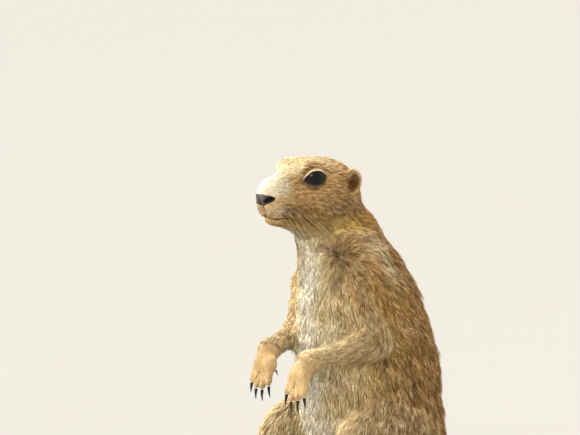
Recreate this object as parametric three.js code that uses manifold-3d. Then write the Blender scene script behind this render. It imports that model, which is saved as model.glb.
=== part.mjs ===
// A life-size prairie dog, sitting up on its haunches and looking ahead, its forepaws hanging at its belly.
// Millimetres, +Z up. It faces -X with its left side towards -Y, and sits on the plane z = 0.
// Every surface is that of the coat, out to the tips of the short fur.
import * as THREE from 'three';
import { mergeVertices } from 'three/addons/utils/BufferGeometryUtils.js';
import Module from 'manifold-3d';

const wasm = await Module();
wasm.setup();

// Driving sizes
const EYE_HEIGHT = 202;
const HEAD_TURN = 8; // degrees, towards the animal's right
const GAP = 0.3; // between neighbouring pieces
const PAD_SINK = 1.2; // how far soles, rump and tail are pressed flat on the floor
const HEAD_STEP = 3.1; // grid steps of the surfaces
const TRUNK_STEP = 7;
const ARM_STEP = 5;
const HAUNCH_STEP = 7.5;
const PAW_STEP = 2.3;
const FOOT_STEP = 3;
const TAIL_STEP = 5;

const COLOURS = {
  back: 0xb08a5c,
  belly: 0xd9c29a,
  face: 0xb58f63,
  foot: 0xcdb48c,
  tailTip: 0x2a211b,
  eye: 0x120d0a,
  claw: 0x2b2622,
};

// Distance fields, negative inside

function ellipsoid([cx, cy, cz], [rx, ry, rz], [ax, ay, az] = [0, 0, 0]) {
  const angles = new THREE.Euler(...[ax, ay, az].map(THREE.MathUtils.degToRad));
  const m = new THREE.Matrix4().makeRotationFromEuler(angles).elements;
  return (x, y, z) => {
    const [dx, dy, dz] = [x - cx, y - cy, z - cz];
    const u = (m[0] * dx + m[1] * dy + m[2] * dz) / rx;
    const v = (m[4] * dx + m[5] * dy + m[6] * dz) / ry;
    const w = (m[8] * dx + m[9] * dy + m[10] * dz) / rz;
    const near = Math.sqrt(u * u + v * v + w * w);
    const slope = Math.hypot(u / rx, v / ry, w / rz);
    return slope > 0 ? (near * (near - 1)) / slope : -Math.min(rx, ry, rz);
  };
}

// A limb from a to b whose radius runs from ra to rb. flat is its height over its width.
function cone([ax, ay, az], [bx, by, bz], ra, rb, flat = 1) {
  const [ex, ey, ez] = [bx - ax, by - ay, (bz - az) / flat];
  const square = ex * ex + ey * ey + ez * ez;
  return (x, y, z) => {
    const [dx, dy, dz] = [x - ax, y - ay, (z - az) / flat];
    const t = Math.min(1, Math.max(0, (dx * ex + dy * ey + dz * ez) / square));
    return Math.hypot(dx - t * ex, dy - t * ey, dz - t * ez) - ra - (rb - ra) * t;
  };
}

// A run of cones through points, each point with its radius
function chain(points, radii, flat = 1) {
  const links = points.slice(1).map((p, i) => cone(points[i], p, radii[i], radii[i + 1], flat));
  return (x, y, z) => Math.min(...links.map((link) => link(x, y, z)));
}

// Fields joined with a soft crease that is k wide
function blend(k, ...fields) {
  return (x, y, z) => {
    let joined = fields[0](x, y, z);
    for (let i = 1; i < fields.length; i += 1) {
      const other = fields[i](x, y, z);
      const share = Math.max(k - Math.abs(joined - other), 0) / k;
      joined = Math.min(joined, other) - (share * share * k) / 4;
    }
    return joined;
  };
}

function carve(k, field, tool) {
  const joined = blend(k, (x, y, z) => -field(x, y, z), tool);
  return (x, y, z) => -joined(x, y, z);
}

const paired = (field) => (x, y, z) => field(x, Math.abs(y), z);

function placed(field, matrix) {
  const m = matrix.clone().invert().elements;
  return (x, y, z) =>
    field(
      m[0] * x + m[4] * y + m[8] * z + m[12],
      m[1] * x + m[5] * y + m[9] * z + m[13],
      m[2] * x + m[6] * y + m[10] * z + m[14],
    );
}

// Meshes and solids

function solidOf(geometry) {
  const bare = geometry.clone();
  bare.deleteAttribute('normal');
  bare.deleteAttribute('uv');
  const merged = mergeVertices(bare, 1e-4);
  const { array } = merged.attributes.position;
  return new wasm.Manifold(
    new wasm.Mesh({
      numProp: 3,
      vertProperties: new Float32Array(array),
      triVerts: new Uint32Array(merged.index.array),
    }),
  );
}

function geometryOf(solid) {
  const mesh = solid.getMesh();
  const flat = new THREE.BufferGeometry();
  flat.setAttribute('position', new THREE.BufferAttribute(new Float32Array(mesh.vertProperties), 3));
  flat.setIndex(new THREE.BufferAttribute(new Uint32Array(mesh.triVerts), 1));
  flat.computeVertexNormals();
  return flat;
}

function largest(solid) {
  return solid.decompose().sort((a, b) => b.volume() - a.volume())[0];
}

// The box between two corners as a field
function boxField(low, high) {
  return (x, y, z) =>
    Math.max(low[0] - x, x - high[0], low[1] - y, y - high[1], low[2] - z, z - high[2]);
}

const CORNERS = [0, 1, 2, 3, 4, 5, 6, 7].map((c) => [c & 1, (c >> 1) & 1, (c >> 2) & 1]);
const EDGES = CORNERS.flatMap((c, i) =>
  [0, 1, 2].filter((axis) => !c[axis]).map((axis) => [i, i + (1 << axis)]),
);

// The part of a field inside a box as a closed solid: one vertex for each grid cell that its surface
// crosses, moved onto the surface and then outward by a given distance.
function surfaceOf(field, low, high, step, outward = 0) {
  const box = boxField(low, high);
  const inside = (x, y, z) => Math.max(field(x, y, z), box(x, y, z));
  const start = low.map((v) => v - step);
  const [nx, ny, nz] = high.map((v, axis) => Math.ceil((v - start[axis]) / step) + 2);
  const at = (i, j, k) => (k * ny + j) * nx + i;
  const place = (i, j, k) => [start[0] + i * step, start[1] + j * step, start[2] + k * step];
  const value = new Float32Array(nx * ny * nz);
  const vertexOf = new Int32Array(nx * ny * nz).fill(-1);
  const points = [];
  const faces = [];
  for (let k = 0; k < nz; k += 1)
    for (let j = 0; j < ny; j += 1)
      for (let i = 0; i < nx; i += 1) value[at(i, j, k)] = inside(...place(i, j, k));

  function addVertex(i, j, k) {
    const sum = [0, 0, 0];
    let crossings = 0;
    for (const [a, b] of EDGES) {
      const [ca, cb] = [CORNERS[a], CORNERS[b]];
      const va = value[at(i + ca[0], j + ca[1], k + ca[2])];
      const vb = value[at(i + cb[0], j + cb[1], k + cb[2])];
      if (va < 0 === vb < 0) continue;
      const t = va / (va - vb);
      crossings += 1;
      [i, j, k].forEach((cell, axis) => {
        sum[axis] += cell + ca[axis] + (cb[axis] - ca[axis]) * t;
      });
    }
    if (!crossings) return;
    vertexOf[at(i, j, k)] = points.length;
    points.push(settle(place(...sum.map((s) => s / crossings))));
  }

  function slopeAt([x, y, z]) {
    const e = 0.05;
    return [
      (inside(x + e, y, z) - inside(x - e, y, z)) / (2 * e),
      (inside(x, y + e, z) - inside(x, y - e, z)) / (2 * e),
      (inside(x, y, z + e) - inside(x, y, z - e)) / (2 * e),
    ];
  }

  function settle(start) {
    let p = start;
    for (let round = 0; round < 3; round += 1) {
      const slope = slopeAt(p);
      const steep = Math.max(Math.hypot(...slope), 0.3);
      const most = 0.5 * step;
      const move = Math.min(most, Math.max(-most, inside(...p) / steep));
      p = p.map((v, axis) => v - (move * slope[axis]) / steep);
    }
    if (!outward) return p;
    const slope = slopeAt(p);
    const steep = Math.hypot(...slope);
    return p.map((v, axis) => v + (outward * slope[axis]) / steep);
  }

  function addQuad(cells, flipped) {
    const [a, b, c, d] = cells.map(([i, j, k]) => vertexOf[at(i, j, k)]);
    const span = (u, v) => Math.hypot(...points[u].map((x, axis) => x - points[v][axis]));
    const pair = span(a, c) < span(b, d) ? [[a, b, c], [a, c, d]] : [[a, b, d], [b, c, d]];
    pair.forEach((face) => faces.push(...(flipped ? face.reverse() : face)));
  }

  for (let k = 0; k < nz - 1; k += 1)
    for (let j = 0; j < ny - 1; j += 1) for (let i = 0; i < nx - 1; i += 1) addVertex(i, j, k);
  for (let k = 1; k < nz - 1; k += 1)
    for (let j = 1; j < ny - 1; j += 1)
      for (let i = 1; i < nx - 1; i += 1) {
        const here = value[at(i, j, k)] < 0;
        if (here !== value[at(i + 1, j, k)] < 0)
          addQuad([[i, j - 1, k - 1], [i, j, k - 1], [i, j, k], [i, j - 1, k]], !here);
        if (here !== value[at(i, j + 1, k)] < 0)
          addQuad([[i - 1, j, k - 1], [i - 1, j, k], [i, j, k], [i, j, k - 1]], !here);
        if (here !== value[at(i, j, k + 1)] < 0)
          addQuad([[i - 1, j - 1, k], [i, j - 1, k], [i, j, k], [i - 1, j, k]], !here);
      }

  return new wasm.Manifold(
    new wasm.Mesh({
      numProp: 3,
      vertProperties: new Float32Array(points.flat()),
      triVerts: new Uint32Array(faces),
    }),
  );
}

// The half space on the side of the plane that normal points to
function beyond(point, normal, shift = 0) {
  const side = 600;
  const direction = new THREE.Vector3(...normal).normalize();
  const turn = new THREE.Quaternion().setFromUnitVectors(new THREE.Vector3(0, 0, 1), direction);
  const centre = new THREE.Vector3(...point).addScaledVector(direction, side / 2 + shift);
  const block = new THREE.BoxGeometry(side, side, side);
  return solidOf(block.applyQuaternion(turn).translate(...centre.toArray()));
}

// Head, in its own frame: the origin is midway between the eyes, and the nose points along -X

const EYE = {
  centre: [0, 13.2, 0],
  radius: 6.8,
  aim: [-0.26, 1, 0.12],
  cap: 76, // degrees of the ball, from its front
  opening: [6.4, 4.2], // half width and half height between the lids
  lid: 1.25,
};
const LID_SINK = 0.4;
const EAR = { centre: [24.6, 15.8, -3], aim: [-0.55, 0.9, 0.16], half: [5.8, 7.4], depth: 3.2, wall: 0.95 };
const MOUTH = { front: [-24, 0, -22], bend: [-18.5, 7.6, -23.6], corner: [-10.5, 11.2, -24.4], radius: 0.75 };
const PHILTRUM = { top: [-26.2, 0, -14.5], bottom: [-24.2, 0, -22], radius: 0.55 };
const NOSTRIL = { centre: [-24.2, 5.8, -11.6], half: [2.4, 1.3, 1] };

const headForm = blend(
  6,
  ellipsoid([9, 0, -3.6], [22.5, 18.5, 14.8]), // braincase
  cone([0, 0, -3.4], [-18.5, 0, -7.6], 12.4, 8.4), // forehead and bridge of the nose
  paired(ellipsoid([6.5, 11, -14], [17, 11.5, 12.6])), // cheek
  cone([-16.5, 0, -22.2], [-1, 0, -22.8], 5.4, 11), // lower jaw and throat
);
const muzzle = blend(
  2.5,
  paired(ellipsoid([-22, 3.4, -11.6], [5, 3.6, 6.2])), // wings of the nose
  paired(ellipsoid([-18.4, 5, -16], [7.8, 5.8, 6.8])), // whisker pad and upper lip
  ellipsoid([-18.4, 0, -23.2], [4.6, 5, 3.6]), // lower lip
);
const brow = paired(ellipsoid([0.5, 12.6, 5.6], [10, 4.6, 4.2], [-28, 0, 0]));
const orbit = paired(ellipsoid([-1, 19.5, 0.2], [6.4, 4, 5.2]));
const headField = carve(3, blend(3, blend(6, headForm, brow), muzzle), orbit);

const neckPivot = [18, 0];
const headMatrix = new THREE.Matrix4()
  .makeTranslation(neckPivot[0], neckPivot[1], EYE_HEIGHT)
  .multiply(new THREE.Matrix4().makeRotationZ(THREE.MathUtils.degToRad(-HEAD_TURN)))
  .multiply(new THREE.Matrix4().makeTranslation(-neckPivot[0], -neckPivot[1], 0));

// Trunk

const neckField = cone([18, 0, 186], [23, 0, 165], 18.5, 21.5);
const chestField = ellipsoid([39, 0, 128], [36, 31, 44], [0, -20, 0]);
const bellyField = ellipsoid([47, 0, 82], [45, 38.5, 56], [0, -4, 0]);
const rumpField = ellipsoid([55, 0, 40], [40, 39, 40 + PAD_SINK]);
const trunkField = blend(16, chestField, bellyField, rumpField, neckField);

// Legs. side is 1 on the animal's right, which is +Y, and -1 on its left.

const SHOULDER = [23, 20, 138];
const ELBOW = [25, 34, 108];
const WRIST = [-10, 19, 102];
const KNUCKLES = [-16.5, 16.5, 92];
const paws = {
  right: { side: 1, drop: 0 },
  left: { side: -1, drop: 3 },
};
const sided = ([x, y, z], side) => [x, y * side, z];
const shifted = ([x, y, z], dx, dy, dz) => [x + dx, y + dy, z + dz];

const FINGERS = [
  { across: -6.3, reach: 8.5, radius: 2.1 },
  { across: -2.2, reach: 11, radius: 2.3 },
  { across: 2.2, reach: 10.6, radius: 2.3 },
  { across: 6, reach: 7.8, radius: 2.1 },
];
const THUMB = { across: -6.6, up: 5, reach: 4.2, radius: 1.8 };

const HEEL = [36, 31, 8];
const BALL = [-3, 35, 6.6];
const TOES = [
  { across: -8.6, back: 8, reach: 9, radius: 2.5 },
  { across: -4.6, back: 1, reach: 12, radius: 2.8 },
  { across: 0, back: 0, reach: 13, radius: 2.9 },
  { across: 4.6, back: 1.4, reach: 12, radius: 2.8 },
  { across: 8.6, back: 10, reach: 8.5, radius: 2.5 },
];

function upperArm(side) {
  return cone(sided(SHOULDER, side), sided(ELBOW, side), 13, 9);
}

function forearm({ side, drop }) {
  return cone(sided(ELBOW, side), shifted(sided(WRIST, side), 0, 0, -drop), 8.6, 5.4);
}

// Each finger as its root, its tip and its radius
function fingersOf({ side, drop }) {
  const knuckles = shifted(sided(KNUCKLES, side), 0, 0, -drop);
  const long = FINGERS.map(({ across, reach, radius }) => ({
    root: shifted(knuckles, 0, across * side, 0),
    tip: shifted(knuckles, -0.28 * reach, across * 1.25 * side, -reach),
    radius,
  }));
  const thumbRoot = shifted(knuckles, 2, THUMB.across * side, THUMB.up);
  const thumbTip = shifted(thumbRoot, -0.5, -2 * side, -THUMB.reach);
  return [...long, { root: thumbRoot, tip: thumbTip, radius: THUMB.radius }];
}

function handField(paw) {
  const wrist = shifted(sided(WRIST, paw.side), 0, 0, -paw.drop);
  const knuckles = shifted(sided(KNUCKLES, paw.side), 0, 0, -paw.drop);
  const spread = (y) => shifted(knuckles, 0.8, y * paw.side, 2);
  const palm = blend(4, cone(wrist, spread(-4), 5.2, 3.8), cone(wrist, spread(4), 5.2, 3.8));
  const fingers = fingersOf(paw).map(({ root, tip, radius }) => cone(root, tip, radius + 0.4, radius));
  return blend(1.6, palm, ...fingers);
}

function toesOf(side) {
  const turn = 0.12; // the foot points a little outwards
  const ball = sided(BALL, side);
  return TOES.map(({ across, back, reach, radius }) => {
    const root = shifted(ball, back, across * side, -2.2);
    return { root, tip: shifted(root, -reach, turn * reach * side + across * 0.12 * side, -0.9), radius };
  });
}

function footField(side) {
  const [heel, ball] = [sided(HEEL, side), sided(BALL, side)];
  const edge = (y) => shifted(ball, 1, y * side, 0);
  const sole = blend(5, cone(heel, edge(-4.5), 8.6, 6.4), cone(heel, edge(4.5), 8.6, 6.4));
  const toes = toesOf(side).map(({ root, tip, radius }) => cone(root, tip, radius + 0.7, radius));
  return blend(2, sole, ...toes);
}

const haunch = (side) =>
  blend(
    14,
    ellipsoid(sided([40, 31, 43], side), [34, 18, 35], [0, -14, 0]), // thigh
    ellipsoid(sided([11, 35, 40], side), [18, 12.5, 25], [0, 10, 0]), // knee
  );

// Tail, laid along the floor with a slow bend to the right. lift is its height over the floor.

const TAIL = [
  { at: [82, 0], radius: 15, lift: 9 },
  { at: [98, 1], radius: 11.5, lift: 2 },
  { at: [114, 5], radius: 11, lift: 0 },
  { at: [131, 12], radius: 11.6, lift: 0 },
  { at: [147, 22], radius: 10, lift: 0 },
  { at: [160, 33], radius: 6.6, lift: 0 },
  { at: [172, 46], radius: 3, lift: 0.6 },
];
const TAIL_FLAT = 0.74; // height over width
const TIP_START = 3; // the point from which the tail is black
const tailPoints = TAIL.map(({ at, radius, lift }) => [...at, radius * TAIL_FLAT - PAD_SINK + lift]);
const tailField = chain(tailPoints, TAIL.map(({ radius }) => radius), TAIL_FLAT);

// Head and trunk are one soft form, which the limbs grow out of

const SIDES = { right: 1, left: -1 };
const coreField = blend(10, trunkField, placed(headField, headMatrix));
const armField = (paw) => blend(4, blend(5, upperArm(paw.side), forearm(paw)), handField(paw));
const legField = (side) => blend(5, haunch(side), footField(side));

const floor = beyond([0, 0, 0], [0, 0, -1]);
const [TRUNK_LOW, TRUNK_HIGH] = [[-30, -60, -4], [120, 60, 200]];
const trunk = surfaceOf(coreField, TRUNK_LOW, TRUNK_HIGH, TRUNK_STEP);
const aroundTrunk = surfaceOf(coreField, TRUNK_LOW, TRUNK_HIGH, TRUNK_STEP, GAP);

// Cuts between the pieces of the trunk: a point on each plane and its normal, towards the head
const HEAD_CUT = { point: [20, 0, 179], normal: [-0.47, 0, 0.88] };
const NECK_CUT = { point: [27, 0, 155], normal: [-0.4, 0, 0.92] };
const CHEST_CUT = { point: [40, 0, 104], normal: [-0.2, 0, 0.98] };
const ANKLE_CUT = { point: [8, 0, 14], normal: [0.35, 0, 1] };
const above = ({ point, normal }) => beyond(point, normal, GAP / 2);
const below = ({ point, normal }) => beyond(point, normal.map((v) => -v), GAP / 2);

const nodes = new THREE.Group();
function addNode(name, solid, colour, roughness = 0.9) {
  const material = new THREE.MeshStandardMaterial({ color: colour, roughness, metalness: 0 });
  const mesh = new THREE.Mesh(geometryOf(largest(solid)), material);
  mesh.name = name;
  nodes.add(mesh);
}

function tubeAlong(points, radius, sides, steps) {
  const path = new THREE.CatmullRomCurve3(points.map((p) => new THREE.Vector3(...p)));
  const ring = new THREE.Shape();
  for (let i = 0; i < sides; i += 1) {
    const angle = (2 * Math.PI * i) / sides;
    const corner = [radius * Math.cos(angle), radius * Math.sin(angle)];
    if (i) ring.lineTo(...corner);
    else ring.moveTo(...corner);
  }
  return new THREE.ExtrudeGeometry(ring, { steps, extrudePath: path, bevelEnabled: false });
}

// A frame whose +Z is aim, with +X kept as level as possible
function aimed(centre, aim) {
  const z = new THREE.Vector3(...aim).normalize();
  const x = new THREE.Vector3(0, 0, 1).cross(z).normalize();
  const y = new THREE.Vector3().crossVectors(z, x);
  return new THREE.Matrix4().makeBasis(x, y, z).setPosition(...centre);
}

// The front of an eyeball, its back cut flat, as a turned profile about +Z
function eyeShape(grow) {
  const radius = EYE.radius + grow;
  const rings = 6;
  const profile = [];
  for (let i = 0; i <= rings; i += 1) {
    const angle = THREE.MathUtils.degToRad((EYE.cap * i) / rings);
    profile.push(new THREE.Vector2(radius * Math.sin(angle), radius * Math.cos(angle)));
  }
  const back = profile[rings].y - grow;
  profile.push(new THREE.Vector2(profile[rings].x, back), new THREE.Vector2(0, back));
  const kept = grow ? profile : profile.filter((p, i) => i !== rings + 1);
  return new THREE.LatheGeometry(kept.reverse(), 20).rotateX(Math.PI / 2).rotateZ(0.1);
}

// A ring that hugs the eyeball and stands out of the skin round it
function lidShape() {
  const front = Math.sqrt(EYE.radius ** 2 - EYE.opening[0] * EYE.opening[1]);
  const ring = new THREE.TorusGeometry(1, EYE.lid / EYE.opening[1], 6, 22);
  return ring.scale(EYE.opening[0], EYE.opening[1], EYE.opening[1]).translate(0, 0, front - LID_SINK);
}

// An oval cup with a rounded rim, opening towards +Z
function earShape() {
  const cup = new THREE.SphereGeometry(1, 16, 8).rotateX(Math.PI / 2);
  const { position } = cup.attributes;
  for (let i = 0; i < position.count; i += 1) {
    const [a, b, c] = [position.getX(i), position.getY(i), position.getZ(i)];
    const hollow = -EAR.depth * (1 - a * a - b * b);
    position.setXYZ(i, a * EAR.half[0], b * EAR.half[1], hollow + c * EAR.wall);
  }
  return cup;
}

const headFrame = (side, { centre, aim }) =>
  headMatrix.clone().multiply(aimed(sided(centre, side), sided(aim, side)));
const inHead = (geometry) => geometry.applyMatrix4(headMatrix);

function buildHead() {
  const [low, high] = [[-34, -32, 158], [50, 34, 222]];
  let head = surfaceOf(coreField, low, high, HEAD_STEP).intersect(above(HEAD_CUT));
  for (const side of Object.values(SIDES)) {
    const mouth = [MOUTH.front, MOUTH.bend, MOUTH.corner].map((p) => sided(p, side));
    const nostril = new THREE.SphereGeometry(1, 8, 6).scale(...NOSTRIL.half).rotateZ(0.5 * side);
    head = head
      .add(solidOf(lidShape().applyMatrix4(headFrame(side, EYE))))
      .subtract(solidOf(eyeShape(GAP).applyMatrix4(headFrame(side, EYE))))
      .subtract(solidOf(inHead(tubeAlong(mouth, MOUTH.radius, 6, 6))))
      .subtract(solidOf(inHead(nostril.translate(...sided(NOSTRIL.centre, side)))));
  }
  const philtrum = tubeAlong([PHILTRUM.top, PHILTRUM.bottom], PHILTRUM.radius, 6, 1);
  addNode('head', head.subtract(solidOf(inHead(philtrum))), COLOURS.face);
  const aroundHead = surfaceOf(coreField, low, high, HEAD_STEP, GAP);
  for (const [name, side] of Object.entries(SIDES)) {
    addNode(`eye_${name}`, solidOf(eyeShape(0).applyMatrix4(headFrame(side, EYE))), COLOURS.eye, 0.08);
    const ear = solidOf(earShape().applyMatrix4(headFrame(side, EAR)));
    addNode(`ear_${name}`, ear.subtract(aroundHead), COLOURS.face);
  }
}

function buildTrunk() {
  const onFloor = trunk.subtract(floor);
  addNode('neck', onFloor.intersect(below(HEAD_CUT)).intersect(above(NECK_CUT)), COLOURS.back);
  addNode('chest', onFloor.intersect(below(NECK_CUT)).intersect(above(CHEST_CUT)), COLOURS.belly);
  addNode('abdomen', onFloor.intersect(below(CHEST_CUT)), COLOURS.belly);
}

// A claw with its root at the origin, pointing along +Z and hooking towards -Y
function clawShape(length, radius, hook) {
  const claw = new THREE.ConeGeometry(radius, length, 6, 2).rotateX(Math.PI / 2);
  claw.translate(0, 0, length / 2).scale(0.8, 1, 1);
  const { position } = claw.attributes;
  for (let i = 0; i < position.count; i += 1) {
    const along = position.getZ(i) / length;
    position.setY(i, position.getY(i) - hook * length * along * along);
  }
  return claw;
}

// A claw that grows from the tip of a digit; below is the way it hooks
function addClaw(name, { root, tip, radius }, size, hookWay, around) {
  const start = new THREE.Vector3(...tip);
  const along = start.clone().sub(new THREE.Vector3(...root)).normalize();
  const y = new THREE.Vector3(...hookWay).negate();
  y.addScaledVector(along, -y.dot(along)).normalize();
  const x = new THREE.Vector3().crossVectors(y, along);
  const frame = new THREE.Matrix4().makeBasis(x, y, along).setPosition(start);
  const claw = clawShape(size.length + radius, size.radius, size.hook).applyMatrix4(frame);
  addNode(name, solidOf(claw).subtract(around).subtract(floor), COLOURS.claw, 0.4);
}

const FORE_CLAW = { length: 8, radius: 1.5, hook: 0.3 };
const THUMB_CLAW = { length: 4.4, radius: 1.2, hook: 0.3 };
const HIND_CLAW = { length: 6, radius: 1.5, hook: 0.16 };

// A box on one side of the body: x and z between two values, and from y = 2 outwards
const sideBox = (side, x, z) => {
  const [near, far] = [2, 62];
  return side > 0 ? [[x[0], near, z[0]], [x[1], far, z[1]]] : [[x[0], -far, z[0]], [x[1], -near, z[1]]];
};

function buildForelegs() {
  for (const [name, paw] of Object.entries(paws)) {
    const { side, drop } = paw;
    const field = armField(paw);
    const wrist = shifted(sided(WRIST, side), 2.5, 0.8 * side, -drop);
    const [from, to] = [sided(WRIST, side), sided(KNUCKLES, side)];
    const split = { point: wrist, normal: from.map((v, axis) => v - to[axis]) };
    const leg = surfaceOf(field, ...sideBox(side, [-25, 60], [70, 165]), ARM_STEP);
    addNode(`foreleg_${name}`, leg.intersect(above(split)).subtract(aroundTrunk), COLOURS.back);
    const handBox = sideBox(side, [-38, -2], [60, 112]);
    const hand = surfaceOf(field, ...handBox, PAW_STEP).intersect(below(split));
    addNode(`forepaw_${name}`, hand.subtract(aroundTrunk), COLOURS.foot);
    const aroundHand = surfaceOf(field, ...handBox, PAW_STEP, GAP);
    fingersOf(paw).forEach((finger, i) => {
      const size = i === FINGERS.length ? THUMB_CLAW : FORE_CLAW;
      addClaw(`claw_fore_${name}_${i + 1}`, finger, size, [1, 0, -0.2], aroundHand);
    });
  }
}

function buildHindlegs() {
  for (const [name, side] of Object.entries(SIDES)) {
    const field = legField(side);
    const leg = surfaceOf(field, ...sideBox(side, [-30, 90], [-4, 100]), HAUNCH_STEP);
    addNode(`hindleg_${name}`, leg.intersect(above(ANKLE_CUT)).subtract(aroundTrunk), COLOURS.back);
    const footBox = sideBox(side, [-32, 60], [-4, 26]);
    const foot = surfaceOf(field, ...footBox, FOOT_STEP).intersect(below(ANKLE_CUT));
    addNode(`hindfoot_${name}`, foot.subtract(aroundTrunk).subtract(floor), COLOURS.foot);
    const aroundFoot = surfaceOf(field, ...footBox, FOOT_STEP, GAP);
    toesOf(side).forEach((toe, i) => {
      addClaw(`claw_hind_${name}_${i + 1}`, toe, HIND_CLAW, [0, 0, -1], aroundFoot);
    });
  }
}

function buildTail() {
  const whole = surfaceOf(tailField, [70, -30, -4], [180, 60, 40], TAIL_STEP);
  const tail = whole.subtract(aroundTrunk).subtract(floor);
  const [a, b] = [tailPoints[TIP_START], tailPoints[TIP_START + 1]];
  const split = { point: a, normal: [b[0] - a[0], b[1] - a[1], 0] };
  addNode('tail', tail.intersect(below(split)), COLOURS.back);
  addNode('tail_tip', tail.intersect(above(split)), COLOURS.tailTip);
}

buildHead();
buildTrunk();
buildForelegs();
buildHindlegs();
buildTail();

// The part's origin is on the floor, under the middle of its bounding box
const bounds = new THREE.Box3().setFromObject(nodes);
const middle = bounds.getCenter(new THREE.Vector3());
nodes.position.set(-middle.x, -middle.y, -bounds.min.z);

export default nodes;
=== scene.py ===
import math

import bmesh
import bpy
import numpy as np
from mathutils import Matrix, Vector
from mathutils.bvhtree import BVHTree
from mathutils.kdtree import KDTree


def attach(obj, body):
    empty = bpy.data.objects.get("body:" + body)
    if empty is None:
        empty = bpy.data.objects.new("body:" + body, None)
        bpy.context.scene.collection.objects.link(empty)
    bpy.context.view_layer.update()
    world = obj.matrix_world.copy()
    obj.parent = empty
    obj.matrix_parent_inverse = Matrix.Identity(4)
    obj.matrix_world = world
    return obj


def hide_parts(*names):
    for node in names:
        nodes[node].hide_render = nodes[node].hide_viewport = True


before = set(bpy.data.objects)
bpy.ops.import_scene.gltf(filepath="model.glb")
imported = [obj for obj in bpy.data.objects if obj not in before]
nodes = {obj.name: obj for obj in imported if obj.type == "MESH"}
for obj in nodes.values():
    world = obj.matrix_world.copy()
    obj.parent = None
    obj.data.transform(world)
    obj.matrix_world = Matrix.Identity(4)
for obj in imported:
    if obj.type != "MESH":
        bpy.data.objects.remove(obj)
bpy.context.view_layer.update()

# A life-size prairie dog that sits upright, with a coat of small solid tufts over one skin.
# Lengths are in metres. Places on the head are in millimetres from the point midway between
# the eyes: x runs back from the nose, y to the animal's right and z up.

MM = 0.001
SIDES = {1: "right", -1: "left"}
random = np.random.default_rng(19)


# Small tools for arrays of points

def unit(vectors):
    lengths = np.linalg.norm(vectors, axis=-1, keepdims=True)
    return vectors / np.maximum(lengths, 1e-12)


def step(low, high, values):
    """0 below low, 1 above high, and smooth between."""
    share = np.clip((values - low) / (high - low), 0, 1)
    return share * share * (3 - 2 * share)


def bell(off, width):
    """1 where off is 0, fading to 0 within about two widths."""
    return np.exp(-(off / width) ** 2)


def spot(points, centre, sizes):
    """1 at the centre of an oval patch, fading to 0 outside it."""
    return np.exp(-(((points - centre) / sizes) ** 2).sum(1))


def mix(first, second, share):
    return first + (second - first) * np.asarray(share)[..., None]


def layered(made, *layers):
    """A colour with others laid over it in turn, each by its share. A function makes its own
    colour from what lies under it."""
    for over, share in layers:
        made = mix(made, over(made) if callable(over) else over, share)
    return made


def colour(red, green, blue):
    """A colour as light, from its everyday numbers of 0 to 255."""
    return ((np.array([red, green, blue]) / 255 + 0.055) / 1.055) ** 2.4


def ripple(points, size, seed):
    """A smooth random field, about -1 to 1, whose waves are about size millimetres long."""
    draw = np.random.default_rng(seed)
    waves = 7
    total = np.zeros(len(points))
    for _ in range(waves):
        way = unit(draw.normal(size=3))
        pace = 2 * math.pi / (size * MM * draw.uniform(0.7, 1.5))
        total += np.sin(points @ way * pace + draw.uniform(0, 2 * math.pi))
    return total / math.sqrt(waves)


def near_line(points, line):
    """How far each point is from a line of straight pieces, and the way the nearest piece runs."""
    line = np.asarray(line, float)
    best = np.full(len(points), 1e9)
    way = np.zeros_like(points)
    for start, end in zip(line[:-1], line[1:]):
        run = end - start
        along = np.clip((points - start) @ run / (run @ run), 0, 1)
        off = np.linalg.norm(points - start - along[:, None] * run, axis=1)
        closer = off < best
        best[closer] = off[closer]
        way[closer] = unit(run)
    return best, way


def laid_on(ways, normals):
    """Ways laid flat on a surface with these normals, at length 1."""
    return unit(ways - (ways * normals).sum(-1, keepdims=True) * normals)


def circle(fore, up, count):
    """The angles of some places round a circle, and the ways to them from its middle."""
    turn = np.linspace(0, 2 * math.pi, count, endpoint=False)
    return turn, fore * np.cos(turn)[:, None] + up * np.sin(turn)[:, None]


# Small tools for meshes

def new_mesh(name, points, faces):
    """A smooth mesh from corners and faces that all have the same number of corners."""
    mesh = bpy.data.meshes.new(name)
    mesh.vertices.add(len(points))
    mesh.vertices.foreach_set("co", points.astype(np.float32).ravel())
    mesh.loops.add(faces.size)
    mesh.loops.foreach_set("vertex_index", faces.astype(np.int32).ravel())
    mesh.polygons.add(len(faces))
    starts = np.arange(0, faces.size, faces.shape[1], dtype=np.int32)
    mesh.polygons.foreach_set("loop_start", starts)
    mesh.update(calc_edges=True)
    mesh.shade_smooth()
    return mesh


def new_object(name, data):
    made = bpy.data.objects.new(name, data)
    bpy.context.scene.collection.objects.link(made)
    return made


def values_of(items, key, width, kind=np.int32):
    values = np.empty(len(items) * width, kind)
    items.foreach_get(key, values)
    return values.reshape(-1, width)


def corners_of(mesh):
    return values_of(mesh.vertices, "co", 3, np.float32).astype(float)


def triangles_of(mesh):
    mesh.calc_loop_triangles()
    return values_of(mesh.loop_triangles, "vertices", 3)


def face_normals(points, triangles):
    a, b, c = (points[triangles[:, k]] for k in range(3))
    return np.cross(b - a, c - a)


def normals_of(points, triangles):
    """The surface's normal at each corner."""
    across = face_normals(points, triangles)
    total = np.zeros_like(points)
    for k in range(3):
        for axis in range(3):
            total[:, axis] += np.bincount(triangles[:, k], across[:, axis], len(points))
    return unit(total)


def smoothed(values, edges, strength, rounds):
    """Moves each value towards its neighbours' mean, by its own strength, again and again."""
    values = values.copy()
    count = len(values)
    one, two = edges.T
    many = np.maximum(np.bincount(one, minlength=count) + np.bincount(two, minlength=count), 1)
    columns = values.reshape(count, -1)
    for _ in range(rounds):
        for k in range(columns.shape[1]):
            column = columns[:, k]
            total = np.bincount(one, column[two], count) + np.bincount(two, column[one], count)
            columns[:, k] = column + strength * (total / many - column)
    return values


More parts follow.
